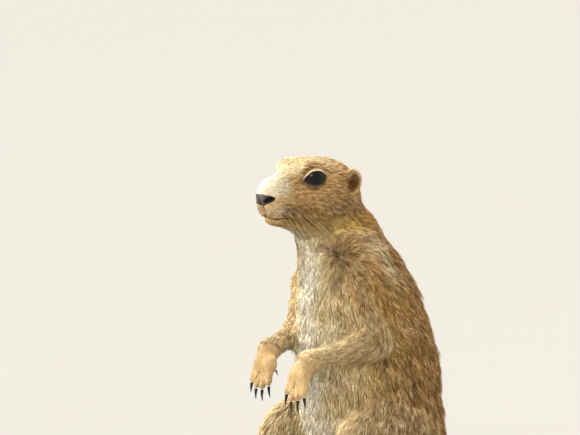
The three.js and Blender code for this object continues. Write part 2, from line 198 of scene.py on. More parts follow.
def ring_faces(rings, around, closed):
    """Four-sided faces between rings of corners. A closed body joins its last ring to its first."""
    steps = rings if closed else rings - 1
    i, j = np.meshgrid(np.arange(steps), np.arange(around), indexing="ij")
    after, beside = (i + 1) % rings, (j + 1) % around
    faces = [i * around + j, i * around + beside, after * around + beside, after * around + j]
    return np.stack([f.ravel() for f in faces], 1)


def halved(quads):
    """Four-sided faces as triangles."""
    return np.concatenate([quads[:, [0, 1, 2]], quads[:, [0, 2, 3]]])


def facing_out(points, triangles):
    """Turns the faces over where the body's volume comes out negative."""
    volume = np.einsum("ij,ij->i", points[triangles[:, 0]], face_normals(points, triangles)).sum()
    return triangles if volume > 0 else triangles[:, ::-1]


def capped(rings, middle):
    """A closed body round its middle, from rings of corners: each end is drawn to one point."""
    count, around = rings.shape[:2]
    points = np.concatenate([rings.reshape(-1, 3), rings[[0, -1]].mean(1)])
    turn = np.arange(around)
    beside = (turn + 1) % around
    first = np.stack([beside, turn, np.full(around, count * around)], 1)
    last_row = (count - 1) * around
    last = np.stack([turn + last_row, beside + last_row, np.full(around, count * around + 1)], 1)
    triangles = np.concatenate([halved(ring_faces(count, around, False)), first, last])
    return points, facing_out(points - middle, triangles)


# A way that no tube runs along
ASKEW = (0.31, 0.17, 0.93)


def tube(path, radii, sides):
    """A closed tube along a path, as corners and triangles."""
    path = np.asarray(path, float)
    ways = unit(np.gradient(path, axis=0))
    side = unit(np.cross(ways, ASKEW))
    _, ring = circle(side[:, None], np.cross(side, ways)[:, None], sides)
    return capped(path[:, None] + ring * radii[:, None, None], path[0])


def bundle(bodies):
    """Several bodies' corners and triangles as one."""
    points, triangles, start = [], [], 0
    for body_points, body_triangles in bodies:
        points.append(body_points)
        triangles.append(body_triangles + start)
        start += len(body_points)
    return np.concatenate(points), np.concatenate(triangles)


# Materials and pieces

def set_inputs(node, values):
    """Sets a shader node's inputs by their names."""
    for name, value in values.items():
        node.inputs[name].default_value = value


def material(name, roughness, specular, grain, grain_size, bump, sheen=0.0):
    """A painted surface whose colour is broken up by fine noise that also roughens it."""
    made = bpy.data.materials.new(name)
    made.use_nodes = True
    tree = made.node_tree
    shader = tree.nodes["Principled BSDF"]
    set_inputs(shader, {"Roughness": roughness, "Specular IOR Level": specular,
                        "Sheen Weight": sheen, "Sheen Roughness": 0.4})
    kinds = ("Attribute", "TexCoord", "TexNoise", "MapRange", "VectorMath", "Bump")
    painted, place, noise, level, times, rough = (tree.nodes.new("ShaderNode" + k) for k in kinds)
    painted.attribute_name = "coat"
    times.operation = "SCALE"
    set_inputs(noise, {"Scale": 1 / (grain_size * MM), "Detail": 3})
    set_inputs(level, {"From Min": 0.3, "From Max": 0.7, "To Min": 1 - grain, "To Max": 1 + grain})
    set_inputs(rough, {"Strength": bump, "Distance": 0.3 * MM})
    for source, output, target, socket in (
        (place, "Object", noise, "Vector"),
        (noise, "Fac", level, "Value"),
        (painted, "Color", times, "Vector"),
        (level, "Result", times, "Scale"),
        (times, "Vector", shader, "Base Color"),
        (noise, "Fac", rough, "Height"),
        (rough, "Normal", shader, "Normal"),
    ):
        tree.links.new(source.outputs[output], target.inputs[socket])
    return made


FUR = {
    "coat_body": material("fur_body", 0.6, 0.12, 0.14, 1.4, 0.2, sheen=0.03),
    "coat_head": material("fur_head", 0.64, 0.1, 0.14, 0.9, 0.2, sheen=0.03),
    "coat_feet": material("fur_feet", 0.66, 0.1, 0.12, 0.8, 0.25, sheen=0.03),
    "coat_tail_tip": material("fur_tail_tip", 0.55, 0.2, 0.2, 1.2, 0.2, sheen=0.02),
}
UNDERCOAT = material("undercoat", 0.85, 0.1, 0.2, 0.7, 0.8)
EYE_GLOSS = material("eye_gloss", 0.05, 0.22, 0.15, 0.7, 0.0)
LID_SKIN = material("lid_skin", 0.5, 0.3, 0.1, 0.5, 0.4)
NOSE_SKIN = material("nose_skin", 0.46, 0.28, 0.25, 0.45, 0.8)
WHISKER_HORN = material("whisker_horn", 0.5, 0.12, 0.1, 2.0, 0.0)
CLAW_HORN = material("claw_horn", 0.32, 0.45, 0.2, 1.2, 0.15)


def add_piece(name, body, colours, look, slot_name, *replaced):
    """A piece from its corners and triangles, with the colour of each corner for its material, its slot
    name, which is not used, and the CAD nodes it stands for."""
    piece = new_object(name, new_mesh(name, *body))
    values = np.ones((len(body[0]), 4), np.float32)
    values[:, :3] = np.clip(colours, 0, 1)
    piece.data.color_attributes.new("coat", "FLOAT_COLOR", "POINT")
    piece.data.color_attributes["coat"].data.foreach_set("color", values.ravel())
    piece.data.materials.append(look)
    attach(piece, "root")
    if replaced:
        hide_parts(*replaced)
    return piece


# Colours of the coat

BACK = colour(202, 162, 104)
CREAM = colour(251, 236, 206)
NECK_PALE = colour(214, 184, 132)
CHEST_TAN = colour(234, 203, 152)
# Dark hair roots where the coat parts at the whorl and its creases, with painted shade there
WHORL_ROOTS_AND_SHADE = colour(76, 52, 30)
HEAD_TAN = colour(214, 172, 108)
CROWN = colour(248, 222, 176)
BRIDGE = colour(252, 238, 206)
EYE_RING = colour(246, 223, 178)
GRIZZLE = colour(186, 146, 98)
OCHRE = colour(244, 188, 72)
PAD_PALE = colour(222, 210, 180)
JAW_PALE = colour(255, 213, 140)
CHIN = colour(216, 178, 112)
FLECK = colour(255, 241, 210)
FEET = colour(212, 180, 130)
TAIL_RUFOUS = colour(188, 140, 84)
TAIL_BLACK = colour(44, 33, 26)


def darker(made):
    """The colour of a dark hair among hairs of the colour given, also used for the painted shade at the
    brow fold and under the jaw.
    """
    return made * np.array([0.42, 0.32, 0.22])


# The head's frame, from the two eyeballs of the CAD

def ball_centre(name):
    """An eyeball's centre and radius, from the corners that lie on its round face."""
    corners = corners_of(nodes[name].data)
    for _ in range(4):
        sides = np.c_[2 * corners, np.ones(len(corners))]
        fit = np.linalg.lstsq(sides, (corners ** 2).sum(1), rcond=None)[0]
        centre = fit[:3]
        radius = math.sqrt(fit[3] + centre @ centre)
        off = np.abs(np.linalg.norm(corners - centre, axis=1) - radius)
        corners = corners[off < max(2.5 * np.median(off), 0.02 * MM)]
    return centre, radius


right_eye, eye_radius = ball_centre("eye_right")
left_eye, _ = ball_centre("eye_left")
HEAD_ORIGIN = (right_eye + left_eye) / 2
HEAD_AXES = np.eye(3)
HEAD_AXES[1] = unit(right_eye - left_eye)
HEAD_AXES[0] = unit(np.cross(HEAD_AXES[1], [0, 0, 1]))
HEAD_AXES[2] = np.cross(HEAD_AXES[0], HEAD_AXES[1])
EYE_OUT = np.linalg.norm(right_eye - left_eye) / 2 / MM
EYE_BALL = eye_radius / MM

# Places on the body are in millimetres from ORIGIN, a point on the floor; HEAD_IN_BODY is where
# the head's own origin lies among them
HEAD_IN_BODY = np.array([0.175, 2.505, 202.0])
ORIGIN = HEAD_ORIGIN - HEAD_IN_BODY * MM


def body_sees(points):
    """Metres in the shared frame to body millimetres, with the left side laid on the right."""
    places = (points - ORIGIN) / MM
    places[:, 1] = np.abs(places[:, 1])
    return places


def head_place(points):
    """Head millimetres to metres in the shared frame."""
    return HEAD_ORIGIN + np.asarray(points, float) @ HEAD_AXES * MM


def head_way(ways):
    return np.asarray(ways, float) @ HEAD_AXES


def head_sees(points):
    """Metres in the shared frame to head millimetres."""
    return (points - HEAD_ORIGIN) @ HEAD_AXES.T / MM


# The skin: the CAD's flesh as one smooth surface, drawn in by the depth of the coat

VOXEL = 0.85 * MM
GAP_FILL = 0.25 * MM
SMOOTH_ROUNDS = 90

# For each part: hair length in mm, tufts on a square mm, and how far its facets are smoothed
COAT = {
    "head": (3.0, 4.6, 0.07),
    "eye": (1.6, 4.6, 0.07),
    "neck": (6.0, 3.0, 0.5),
    "chest": (8.0, 2.2, 0.6),
    "abdomen": (8.5, 1.8, 0.6),
    "foreleg": (5.5, 2.4, 0.35),
    "forepaw": (1.3, 4.6, 0.03),
    "hindleg": (7.5, 1.9, 0.6),
    "hindfoot": (1.7, 4.0, 0.05),
    "tail": (11.0, 2.0, 0.4),
    "tail_tip": (14.0, 2.2, 0.3),
}
# The skin's depth as a share of the hair's length, and how far the tail's skin ends early, in mm
COAT_DEPTH = 0.3
TAIL_DRAWN_IN = 9.0

flesh = [name for name in nodes if not name.startswith(("claw_", "ear_"))]


def kind_of(name):
    return name.removesuffix("_right").removesuffix("_left")


def welded(name):
    """A CAD node's corners and triangles, with its doubled corners joined."""
    body = bmesh.new()
    body.from_mesh(nodes[name].data)
    bmesh.ops.remove_doubles(body, verts=body.verts, dist=1e-6)
    mesh = bpy.data.meshes.new("welded")
    body.to_mesh(mesh)
    body.free()
    points, triangles = corners_of(mesh), triangles_of(mesh)
    bpy.data.meshes.remove(mesh)
    return points, triangles


cad_bodies = [welded(name) for name in flesh]
cad_points, cad_triangles = bundle(cad_bodies)
cad_owner = np.repeat(np.arange(len(flesh)), [len(body[1]) for body in cad_bodies])
cad_tree = BVHTree.FromPolygons(cad_points.tolist(), cad_triangles.tolist())


def one_skin():
    """The flesh nodes, each swollen a little so that they meet, wrapped in one even surface."""
    swollen = [(p + normals_of(p, t) * GAP_FILL, t) for p, t in cad_bodies]
    rough = new_object("rough_skin", new_mesh("rough_skin", *bundle(swollen)))
    wrap = rough.modifiers.new("wrap", "REMESH")
    wrap.mode = "VOXEL"
    wrap.voxel_size = VOXEL
    wrap.use_smooth_shade = True
    shown = rough.evaluated_get(bpy.context.evaluated_depsgraph_get())
    mesh = bpy.data.meshes.new_from_object(shown)
    bpy.data.objects.remove(rough)
    return mesh


def finer_face(mesh):
    """Halves the faces of the muzzle, the eyes' surrounds and the chin."""
    body = bmesh.new()
    body.from_mesh(mesh)
    spots = head_sees(corners_of(mesh))
    near = (spots[:, 0] < 8) & (spots[:, 2] > -34)
    body.verts.ensure_lookup_table()
    edges = [e for e in body.edges if near[e.verts[0].index] and near[e.verts[1].index]]
    bmesh.ops.subdivide_edges(body, edges=edges, cuts=1, use_grid_fill=True)
    body.to_mesh(mesh)
    body.free()


skin_mesh = one_skin()
finer_face(skin_mesh)
skin_points = corners_of(skin_mesh)
skin_edges = values_of(skin_mesh.edges, "vertices", 2)
skin_triangles = triangles_of(skin_mesh)

nearest = [cad_tree.find_nearest(p)[2] for p in skin_points.tolist()]
skin_owner = cad_owner[np.array(nearest)]
skin_kind = np.array([kind_of(name) for name in flesh])[skin_owner]


def blended(values, rounds):
    return smoothed(values, skin_edges, 0.8, rounds)


def of_coat(column, rounds):
    """A column of COAT on the skin, blended where two parts meet."""
    values = np.zeros(len(skin_points))
    for kind, row in COAT.items():
        values[skin_kind == kind] = row[column]
    return blended(values, rounds)


skin_points = smoothed(skin_points, skin_edges, of_coat(2, 20), SMOOTH_ROUNDS)
skin_normals = normals_of(skin_points, skin_triangles)
hair_length = of_coat(0, 45)
hair_density = of_coat(1, 20)
on = {}
for key, members in {
    "head": ["head", "eye"],
    "feet": ["hindfoot", "forepaw"],
    "leg": ["foreleg", "hindleg"],
    "tail": ["tail", "tail_tip"],
    "tip": ["tail_tip"],
}.items():
    on[key] = blended(np.isin(skin_kind, members).astype(float), 30)

spots = head_sees(skin_points)
ahead, aside, above = spots.T
face_spots = np.stack([ahead, np.abs(aside), above], 1)
face = on["head"]

# On the head the hair is shortest at the nose and longest at the jaw and nape
NOSE_HAIR, CHEEK_MORE, NAPE_MORE, JAW_MORE = 1.3, 1.3, 0.9, 1.6
face_length = NOSE_HAIR + CHEEK_MORE * step(-24, -8, ahead) + NAPE_MORE * step(4, 22, ahead)
face_length += JAW_MORE * step(-14, -24, above) * step(-16, 4, ahead)
hair_length += (face_length - hair_length) * face
hair_density *= 1 + 0.9 * face * step(-4, -18, ahead)


# The way the coat lies

SHOULDER, ELBOW, WRIST, KNUCKLES = (23, 20, 138), (25, 34, 108), (-10, 19, 102), (-16.5, 16.5, 92)
TAIL_RUN = [(82, 0, 15), (98, 1, 11.5), (114, 5, 11), (131, 12, 11.6), (147, 22, 10), (172, 46, 3)]
WHORL = np.array([10.3, 18, 158])
WHORL_REACH, WHORL_BEHIND = 13.0, 12
CREASE = [WHORL, WHORL + [-3.5, -1.5, 2.2], WHORL + [-7, -3, 4], WHORL + [-10.5, -5, 5.5]]
SHORT_CREASE = [(13, 18, 153), (9, 18, 142)]
PALE_BAND = [(18, 15.5, 171), (27, 17, 165), (37, 18, 156), (41, 20, 146)]
# Ovals on the body: the middle and the half sizes
NAPE = (33.5, 9.7, 177), (10, 14, 11)
SHOULDER_BACK = (50, 14, 149), (12, 14, 10)

LIE = {
    "neck": (0.6, 0, -0.8),
    "chest": (0.4, 0, -0.95),
    "abdomen": (0.12, 0, -1),
    "hindleg": (-0.35, 0, -1),
    "hindfoot": (-1, 0, -0.12),
}
mirrored_skin = body_sees(skin_points)
skin_side = np.sign(skin_points[:, 1])


def lie_of_coat():
    """The way the hair runs at each corner of the skin, along the skin."""
    ways = np.zeros_like(skin_points)
    for kind, way in LIE.items():
        ways[skin_kind == kind] = unit(way)
    _, along = near_line(mirrored_skin, [SHOULDER, ELBOW, WRIST, KNUCKLES])
    along[:, 1] *= skin_side
    limb = np.isin(skin_kind, ["foreleg", "forepaw"])
    ways[limb] = along[limb]
    _, along = near_line((skin_points - ORIGIN) / MM, TAIL_RUN)
    tail = np.isin(skin_kind, ["tail", "tail_tip"])
    ways[tail] = along[tail]
    # On the head it runs back, and down at the cheeks and nape
    down = 0.1 + 0.75 * step(4, -16, above) * step(-24, 6, ahead) + 0.5 * step(10, 30, ahead)
    back = np.stack([np.ones(len(down)), np.zeros(len(down)), -down], 1)
    head = np.isin(skin_kind, ["head", "eye"])
    ways[head] = unit(back @ HEAD_AXES)[head]
    ways = blended(ways, 50)
    # At the front of the shoulder the hair turns out of a whorl on each side
    from_whorl = mirrored_skin - WHORL
    reach = np.linalg.norm(from_whorl, axis=1)
    out = unit(from_whorl)
    out[:, 1] *= skin_side
    behind = step(-0.2, 0.6, out @ unit([0.8, 0, -0.6]))
    pull = bell(reach, WHORL_REACH + WHORL_BEHIND * behind)
    ways = mix(unit(ways), out, np.clip(pull * 1.15, 0, 1))
    return laid_on(ways, skin_normals)


def on_coat(line):
    """A line's points, each moved to the nearest corner of the skin."""
    return [mirrored_skin[np.argmin(((mirrored_skin - p) ** 2).sum(1))] for p in np.array(line)]


# How much shorter the hair is where it parts, and how much longer at the nape, in mm
PARTED_SHORTER, NAPE_FLUFF = 0.45, 3

skin_flow = lie_of_coat()
CREASE, SHORT_CREASE = on_coat(CREASE), on_coat(SHORT_CREASE)
parted = bell(np.linalg.norm(mirrored_skin - WHORL, axis=1), 4)
for line in (CREASE, SHORT_CREASE):
    parted = np.maximum(parted, bell(near_line(mirrored_skin, line)[0], 3))
hair_length *= 1 - PARTED_SHORTER * parted
hair_length += NAPE_FLUFF * spot(mirrored_skin, *NAPE)


# Places on the face, on the animal's right; the left is their mirror

EYE_AIM = unit([-0.26, 1.0, 0.12])
EYE_TILT = math.radians(8)
LID_FRONT, LID_BACK, LID_HALF_HEIGHT = 5.9, 5.7, 3.6
EAR_AIM = unit([-0.55, 0.9, 0.16])
EAR_CENTRE = np.array([24.6, 15.8, -3.4])
EAR_HALF = (4.6, 7.1)
EAR_FLOOR = -4.8
NOSE_CORE = np.array([-16.0, 0.0, -12.0])
MOUTH_LINE = [(-24.3, 0, -22), (-22, 4.2, -22.6), (-18.5, 7.6, -23.6), (-14.5, 9.8, -24.3),
              (-10.5, 11.2, -24.4)]
PHILTRUM_LINE = [(-26.2, 0, -15.5), (-25.6, 0, -18.5), (-24.3, 0, -22)]

mouth_off, _ = near_line(face_spots, MOUTH_LINE)
philtrum_off, _ = near_line(face_spots, PHILTRUM_LINE)


def ear_frame(side):
    """The ear's centre, the way it opens, its up and its way back."""
    flip = np.array([1, side, 1])
    aim = EAR_AIM * flip
    up = laid_on(np.array([0.2, 0, 1.0]), aim)
    back = np.cross(up, aim)
    return EAR_CENTRE * flip, aim, up, back * np.sign(back[0])


def in_ear(places, side):
    """How far out in the ear's oval each place is, 1 at the edge, and how far along its aim."""
    centre, aim, up, back = ear_frame(side)
    off = places - centre
    return np.hypot(off @ up / EAR_HALF[1], off @ back / EAR_HALF[0]), off @ aim


def eye_frame(side):
    """The eye's centre, the way it looks, the way to its front corner and its up."""
    flip = np.array([1, side, 1])
    aim = EYE_AIM * flip
    fore = laid_on(np.array([-1.0, 0, 0]), aim)
    up = np.cross(fore, aim)
    up = up * np.sign(up[2])
    front = fore * math.cos(EYE_TILT) - up * math.sin(EYE_TILT)
    top = up * math.cos(EYE_TILT) + fore * math.sin(EYE_TILT)
    return np.array([0, EYE_OUT * side, 0]), aim, front, top


def lid_angle(turn):
    """How far from the eye's aim the lids open, in each direction round it, in radians."""
    half = np.where(np.cos(turn) > 0, LID_FRONT, LID_BACK)
    bend = 2 - 0.45 * step(0, 0.8, np.cos(turn))
    out = np.abs(np.cos(turn) / half) ** bend + np.abs(np.sin(turn) / LID_HALF_HEIGHT) ** bend
    return np.arcsin(np.clip(out ** (-1 / bend) / EYE_BALL, 0, 0.94))


def eye_clearance():
    """How far each skin corner is outside the lids' opening, in degrees, and from the eye's centre."""
    centre, aim, front, top = eye_frame(1)
    off = face_spots - centre
    reach = np.linalg.norm(off, axis=1)
    ways = off / reach[:, None]
    angle = np.arccos(np.clip(ways @ aim, -1, 1))
    turn = np.arctan2(ways @ top, ways @ front)
    return np.degrees(angle - lid_angle(turn)), reach


lid_off, eye_reach = eye_clearance()
near_eye = (eye_reach < 12).astype(float)

# For each kind of foot: how many claws stand side by side, the way its digits point, and how far
# the furrows between them run back from the claws, in mm
DIGITS = {"fore": (4, [-6.5, 0, -10], 13), "hind": (5, [-1, 0, -0.12], 14)}
FURROW_HALF = 0.75


def furrows():
    """1 in the furrows between neighbouring digits, fading to 0 beside them."""
    found = np.zeros(len(skin_points))
    for limb, (count, way, reach) in DIGITS.items():
        way = unit(way)
        for side in ("left", "right"):
            names = [f"claw_{limb}_{side}_{k + 1}" for k in range(count)]
            claws = np.array([corners_of(nodes[name].data).mean(0) for name in names])
            for one, two in zip(claws[:-1], claws[1:]):
                off = (skin_points - (one + two) / 2) / MM
                across = np.abs(off @ unit(two - one))
                back = -(off @ way)
                beside = np.linalg.norm(off + back[:, None] * way, axis=1)
                furrow = bell(across, FURROW_HALF) * step(reach, reach - 5, back) * step(9, 7, beside)
                found = np.maximum(found, furrow * (back > -3))
    return found * step(0.3, 0.8, on["feet"])


toe_gap = furrows()

# In mm, how far the skin rises at the nape and lips, and dips at the other places named
NAPE_RISE, SHOULDER_DIP, TOE_DIP = 1.2, 2.2, 0.7
MOUTH_DIP, PHILTRUM_DIP, LIP_RISE = 0.9, 0.8, 0.35

# The skin lies inside the coat, dips under the lids and folds in at the mouth
depth = COAT_DEPTH * hair_length - NAPE_RISE * spot(mirrored_skin, *NAPE)
depth += SHOULDER_DIP * spot(mirrored_skin, *SHOULDER_BACK)
depth += TOE_DIP * toe_gap
depth += MOUTH_DIP * bell(mouth_off, 0.8) + PHILTRUM_DIP * bell(philtrum_off, 0.75)
depth -= LIP_RISE * bell(mouth_off - 2.0, 1.2) * face
skin_points -= skin_normals * (depth * MM)[:, None]

tail_end = np.array(TAIL_RUN[-1], float)
tail_way = unit(tail_end - np.array(TAIL_RUN[-2], float))
from_end = np.linalg.norm((skin_points - ORIGIN) / MM - tail_end, axis=1)
skin_points -= tail_way * (TAIL_DRAWN_IN * MM * step(36, 4, from_end))[:, None]

# How far inside the eyeball's surface the skin ends under the lids, and how deep it lies under
# the bare nose, in mm
UNDER_LID, UNDER_NOSE = 0.7, 2.6

under = near_eye * step(26, 12, lid_off)
for side in SIDES:
    centre = head_place(eye_frame(side)[0])
    here = (np.sign(aside) == side) & (under > 0)
    off = skin_points[here] - centre
    length = np.linalg.norm(off, axis=1)
    wanted = np.minimum(length, (EYE_BALL - UNDER_LID) * MM)
    length_new = length + (wanted - length) * under[here]
    skin_points[here] = centre + off * (length_new / length)[:, None]
    oval, along = in_ear(head_sees(skin_points), side)
    inside = step(0.98, 0.8, oval) * (along > -9)
    sunk = np.minimum(EAR_FLOOR - along, 0) * inside
    skin_points += head_way(ear_frame(side)[1]) * (sunk * MM)[:, None]
skin_normals = normals_of(skin_points, skin_triangles)
face_tree = BVHTree.FromPolygons(skin_points.tolist(), skin_triangles.tolist())

nose_ways = unit(face_spots - NOSE_CORE)
nose_turn = np.degrees(np.arctan2(nose_ways[:, 1], -nose_ways[:, 0]))
nose_rise = np.degrees(np.arcsin(np.clip(nose_ways[:, 2], -1, 1)))


def nose_outline(turn, rise):
    """0 at the middle of the bare nose and 1 at its edge, from angles seen from its core."""
    top, bottom = 17 - 0.06 * turn, np.minimum(-23 + 0.42 * turn, 2)
    across = np.abs(rise - (top + bottom) / 2) / ((top - bottom) / 2)
    return ((turn / 57) ** 4 + across ** 4) ** 0.25


nose_off = nose_outline(nose_turn, nose_rise)
nose_near = (np.linalg.norm(face_spots - NOSE_CORE, axis=1) < 14) & (face_spots[:, 0] < -17)
ear_oval, ear_along = in_ear(face_spots, 1)
# Bare places: under the lids, in the mouth line, on the nose, inside the ears and under the feet
bare = np.max([
    near_eye * step(14, 9, lid_off),
    step(0.7, 0.45, mouth_off),
    step(0.5, 0.3, philtrum_off),
    nose_near * step(1.05, 0.9, nose_off),
    step(1.0, 0.9, ear_oval) * (np.abs(ear_along) < 9),
], axis=0)
hair_density *= 1 - bare
sunk = UNDER_NOSE * step(0.98, 0.8, nose_off) * nose_near
skin_points -= skin_normals * (sunk * MM)[:, None]
hair_density[(skin_points[:, 2] < 1.2 * MM) & (skin_normals[:, 2] < -0.4)] = 0


# Markings

# Oval patches on the body and on the face: the middle and the half sizes
SHOULDER_GLOW = (33, 22, 118), (16, 14, 30)
CHEEK = (8, 15, -12), (19, 12, 6)
CHEEK_STREAK = (12, 15, -18), (14, 12, 3)
CHEEK_GRIZZLE = (9, 15, -12), (17, 12, 7)
WHISKER_PAD = (-19, 6, -17.5), (7, 6, 4.5)
DOTTED_PAD = (-20, 7, -20), (5, 6, 3)
JAW = (18, 14, -27), (17, 12, 6)
JAW_LIGHT = (9, 13, -30), (12, 12, 4.5)
JAW_SHADE = (22, 14, -36.5), (11, 12, 3.6)
# How far from the eye's middle the painted shadow of the brow fold and the pale ring outside it are
BROW_SHADOW_OUT, RING_OUT = 8.4, 10.4
# The whisker pad's dark dots: their spacing along a row, and from row to row, in mm
DOT_PITCH, DOT_ROW = 2.3, 3.4
# How far back the trunk's middle is at these heights
SPINE_HEIGHTS, SPINE_PLACES = (40, 82, 128, 178), (55, 47, 39, 21)


def markings(points, weight):
    """The coat's colour at each point, and the shares of dark and of pale hairs there."""
    place = body_sees(points)
    face_place = head_sees(points)
    face_place[:, 1] = np.abs(face_place[:, 1])
    x, _, z = face_place.T
    wave = ripple(points, 24, 3)
    middle = np.interp(place[:, 2], SPINE_HEIGHTS, SPINE_PLACES)
    # Degrees round the trunk, from 0 at the breastbone to 180 at the spine
    round_trunk = np.degrees(np.arctan2(place[:, 1], middle - place[:, 0])) + 6 * wave
    whorl_off = np.linalg.norm(place - WHORL, axis=1)
    crease_off = np.minimum(near_line(place, CREASE)[0], near_line(place, SHORT_CREASE)[0] + 0.6)
    band = bell(near_line(place, PALE_BAND)[0], 6)
    # Painted shade in the whorl and in the creases that run from it, over the dark hair roots that show
    # where the hair parts
    shade = 0.85 * bell(whorl_off, 2.2) + 0.8 * bell(crease_off, 1.5)
    body = layered(
        BACK,
        (NECK_PALE, 0.55 * step(95, 60, round_trunk)),
        (BACK * 0.86, step(110, 160, round_trunk)),
        (mix(CREAM, CHEST_TAN, step(4, 36, round_trunk)), 1 - step(34, 58, round_trunk)),
        (OCHRE, 0.35 * spot(place, *SHOULDER_GLOW)),
        (mix(BACK, CREAM, 0.35), weight["leg"] * 0.7 * step(136, 116, place[:, 2])),
        (FEET, weight["feet"]),
        (TAIL_RUFOUS, weight["tail"]),
        (TAIL_BLACK, step(0.35, 0.65, weight["tip"] + 0.1 * wave)),
        (CREAM, 0.85 * band),
        (WHORL_ROOTS_AND_SHADE, np.clip(shade, 0, 0.9)),
    )
    dark = 0.05 + 0.33 * step(45, 100, round_trunk) * (1 - 0.8 * band)
    dark += 0.35 * bell(whorl_off, 6)
    pale = 0.14 + 0.1 * band

    crown = step(5, 14, z) * step(-22, -12, x) * step(60, 34, x)
    ring = np.linalg.norm(face_place - [0, EYE_OUT, 0], axis=1)
    over_eye = step(0, 4, z) * step(9, 5, x)
    head = layered(
        HEAD_TAN,
        (CROWN, crown),
        (BRIDGE, step(-10, -18, x) * step(-12, -8, z)),
        (CREAM, 0.75 * step(-5, -11, x) * step(0, 6, z)),
        (GRIZZLE, 0.9 * spot(face_place, *CHEEK)),
        (darker, 0.5 * spot(face_place, *CHEEK_STREAK)),
        (PAD_PALE, spot(face_place, *WHISKER_PAD)),
        (CHIN, step(-21, -25, z) * step(4, -10, x)),
        (CREAM, 0.8 * step(-26, -32, z) * step(12, -2, x)),
        # Painted shadow of the brow fold over the eye
        (darker, 0.8 * bell(ring - BROW_SHADOW_OUT, 0.8) * over_eye),
        (EYE_RING, 0.5 * bell(ring - RING_OUT, 0.7) * over_eye),
    )
    dots = np.clip(np.cos(x * 2 * math.pi / DOT_PITCH + z) * np.cos(z * 2 * math.pi / DOT_ROW), 0, 1)
    dots = dots ** 3 * spot(face_place, *DOTTED_PAD)
    made = layered(
        body,
        (head, weight["head"]),
        (OCHRE, 0.82 * spot(face_place, *JAW)),
        (JAW_PALE, 0.7 * spot(face_place, *JAW_LIGHT)),
        (darker(OCHRE), 0.55 * spot(face_place, *JAW_SHADE)),
        (lambda under: darker(under) * 0.5, np.clip(dots * 1.6, 0, 0.9) * weight["head"]),
    )
    head_dark = 0.2 + 0.15 * step(0, 8, z) + 0.25 * spot(face_place, *CHEEK_GRIZZLE)
    head_dark *= 1 - step(-9, -15, x) * step(-12, -6, z) * 0.7
    dark = dark * (1 - weight["head"]) + head_dark * weight["head"]
    pale = pale * (1 - weight["head"]) + (0.16 + 0.14 * crown) * weight["head"]
    return made, dark, pale


# The skin has the coat's markings darkened: painted shade, so that it passes for the shadowed undercoat
# seen between the tufts
SKIN_SHADE = 0.72
skin_colour, _, _ = markings(skin_points, on)
# The mouth line and the cleft above it are darker: the lips' dark skin, with painted shade in the
# grooves
for off, width, tone in ((mouth_off, 0.7, 0.25), (philtrum_off, 0.5, 0.4)):
    skin_colour = mix(skin_colour, skin_colour * tone, bell(off, width) * face)
add_piece("skin", (skin_points, skin_triangles), skin_colour * SKIN_SHADE, UNDERCOAT, "coat_body",
          *[n for n in flesh if not n.startswith("eye_")])


# Tufts

TUFT_SHORT = 3.4
TUFT_LIFT = math.radians(34)
TUFT_SINK = 0.15
PIECE_LIMIT = 190000
THIRDS = np.arange(3) * 2 * math.pi / 3


def scatter(surface):
    """Roots spread evenly over a surface, with what the surface says at each of them."""
    points, triangles = surface["points"], surface["triangles"]
    area = np.linalg.norm(face_normals(points, triangles), axis=1) / 2 / MM ** 2
    total = np.cumsum(area * surface["density"][triangles].mean(1))
    count = int(total[-1])
    drawn = (np.arange(count) + random.random(count)) * total[-1] / count
    faces = triangles[np.minimum(np.searchsorted(total, drawn), len(triangles) - 1)]
    a, b = random.random((2, count))
    folded = a + b > 1
    a[folded], b[folded] = 1 - a[folded], 1 - b[folded]
    shares = np.stack([1 - a - b, a, b], 1)
    roots = {}
    for key in ("points", "normals", "flow", "length", "shade"):
        roots[key] = np.einsum("ij,ij...->i...", shares, surface[key][faces])
    roots["on"] = {
        key: np.einsum("ij,ij->i", shares, values[faces]) for key, values in surface["on"].items()
    }
    roots["corner"] = faces[:, 0]
    roots["normals"] = unit(roots["normals"])
    roots["flow"] = laid_on(roots["flow"], roots["normals"])
    return roots


def tuft_bodies(roots, ends, long):
    """Corners, triangles and the height share of each corner: a bent spike, or a plain one."""
    count = len(roots["points"])
    normal, flow = roots["normals"], roots["flow"]
    across = np.cross(normal, flow)
    width = roots["width"][:, None, None]
    ring = across[:, None] * np.cos(THIRDS)[:, None] + normal[:, None] * np.sin(THIRDS)[:, None] * 0.6
    base = ends[0][:, None] + ring * width * 0.5
    if long:
        middle = ends[1][:, None] + ring * width * 0.42
        corners = np.concatenate([base, middle, ends[2][:, None]], 1)
        rises = np.array([0, 0, 0, 0.5, 0.5, 0.5, 1.0])
        pattern = [[0, 2, 1]]
        for k in range(3):
            n = (k + 1) % 3
            pattern += [[k, n, n + 3], [k, n + 3, k + 3], [k + 3, n + 3, 6]]
    else:
        corners = np.concatenate([base, ends[2][:, None]], 1)
        rises = np.array([0, 0, 0, 1.0])
        pattern = [[0, 2, 1], [0, 1, 3], [1, 2, 3], [2, 0, 3]]
    starts = np.arange(count)[:, None, None] * len(rises)
    triangles = (np.array(pattern)[None] + starts).reshape(-1, 3)
    return corners, triangles, rises


# How far tufts swing to the side: in wide waves, in narrow waves, and each by itself
SWING_WIDE, SWING_NARROW, SWING_OWN = 0.16, 0.1, 0.13


